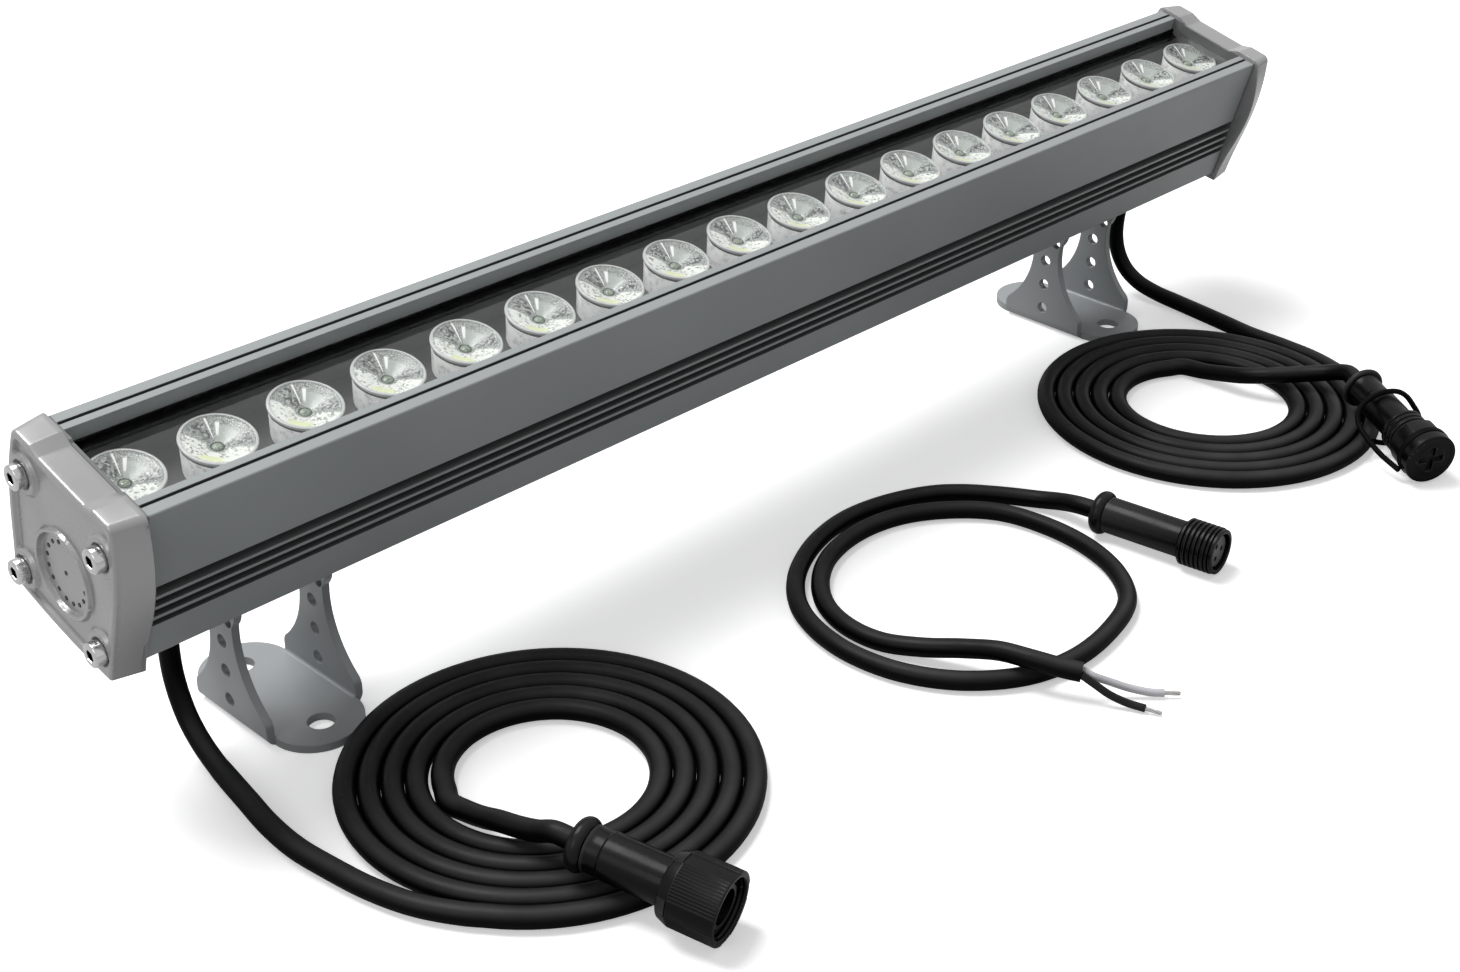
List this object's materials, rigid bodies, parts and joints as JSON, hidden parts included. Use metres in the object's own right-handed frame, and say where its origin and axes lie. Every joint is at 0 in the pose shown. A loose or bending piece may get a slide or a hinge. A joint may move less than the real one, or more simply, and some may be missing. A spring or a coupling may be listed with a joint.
{
  "type": "outdoor wall washer light",
  "caption": "Long bar-shaped outdoor wall washer light with a row of lenses behind glass, tilting on two folded brackets, with coiled cords, screw plugs and a spare connecting lead.",
  "frame": {"origin": "middle of the four wall fixing holes, on the mounting face under the two brackets", "axes": "+X along the lamp towards the capped plug's end, -Y to the side the cords leave, +Z away from the mounting face"},
  "size_m": [0.506, 0.217, 0.1116],
  "materials": {
    "housing_paint": "matte grey powder coat on extruded aluminium",
    "cap_paint": "satin silver grey coat on die-cast aluminium",
    "seal_rubber": "matte black",
    "screw_steel": "polished stainless steel",
    "cover_glass": "clear tempered",
    "board_dark": "dark solder mask",
    "chip_yellow": "yellow phosphor",
    "holder_white": "white",
    "lens_clear": "clear moulded optics",
    "board_green": "green circuit board",
    "driver_black": "black component cases",
    "gland_black": "black nylon",
    "upper_bracket_paint": "dark grey coat",
    "bracket_paint": "matte grey powder coat",
    "cord_rubber": "satin black sheath",
    "plug_black": "satin black",
    "contact_brass": "plain contacts",
    "insert_grey": "dark grey contact block",
    "wire_white": "white sleeve",
    "wire_black": "black sleeve",
    "strand_metal": "tinned strands"
  },
  "bodies": {
    "base": {"bracket_left": "bracket_paint", "bracket_right": "bracket_paint", "pivot_bolts": "screw_steel", "pivot_washers": "screw_steel", "pivot_nuts": "screw_steel", "cord_drop_left": "cord_rubber", "cord_coil_left": "cord_rubber", "cord_tail_left": "cord_rubber", "cord_drop_right": "cord_rubber", "cord_coil_right": "cord_rubber", "cord_tail_right": "cord_rubber", "inlet_plug_body": "plug_black", "inlet_plug_seal": "seal_rubber", "inlet_plug_pins": "contact_brass", "outlet_plug_body": "plug_black", "outlet_plug_insert": "insert_grey", "cap_tether": "seal_rubber", "lead_cord": "cord_rubber", "lead_plug_body": "plug_black", "lead_plug_insert": "insert_grey", "lead_wire_white": "wire_white", "lead_wire_black": "wire_black", "lead_strands": "strand_metal"},
    "head": {"housing": "housing_paint", "end_cap_left": "cap_paint", "end_cap_right": "cap_paint", "cap_gasket_left": "seal_rubber", "cap_gasket_right": "seal_rubber", "cap_screws_left": "screw_steel", "cap_screws_right": "screw_steel", "glass_cover": "cover_glass", "glass_seal": "seal_rubber", "led_board": "board_dark", "led_chips": "chip_yellow", "lens_holders": "holder_white", "lenses": "lens_clear", "driver_board": "board_green", "driver_parts": "driver_black", "gland_body_left": "gland_black", "gland_body_right": "gland_black", "gland_nut_left": "gland_black", "gland_nut_right": "gland_black", "upper_bracket_left": "upper_bracket_paint", "upper_bracket_right": "upper_bracket_paint", "upper_bracket_screws": "screw_steel"},
    "coupling_nut": {"coupling_nut": "plug_black"},
    "screw_cap": {"screw_cap": "plug_black"}
  },
  "joints": [
    {"name": "head_tilt", "type": "hinge", "parent": "base", "child": "head", "pos_m": [0, 0, 0.041], "axis": [1, 0, 0], "range_deg": [-105, 75], "deforming": ["cord_drop_left", "cord_drop_right"]},
    {"name": "coupling_nut_turn", "type": "hinge", "parent": "base", "child": "coupling_nut", "pos_m": [-0.1807, -0.1254, 0.0148], "axis": [0.2908, -0.9511, -0.1045], "continuous": true},
    {"name": "screw_cap_turn", "type": "hinge", "parent": "base", "child": "screw_cap", "pos_m": [0.1852, -0.13, 0.0148], "axis": [-0.4897, -0.8656, -0.1045], "continuous": true}
  ]
}
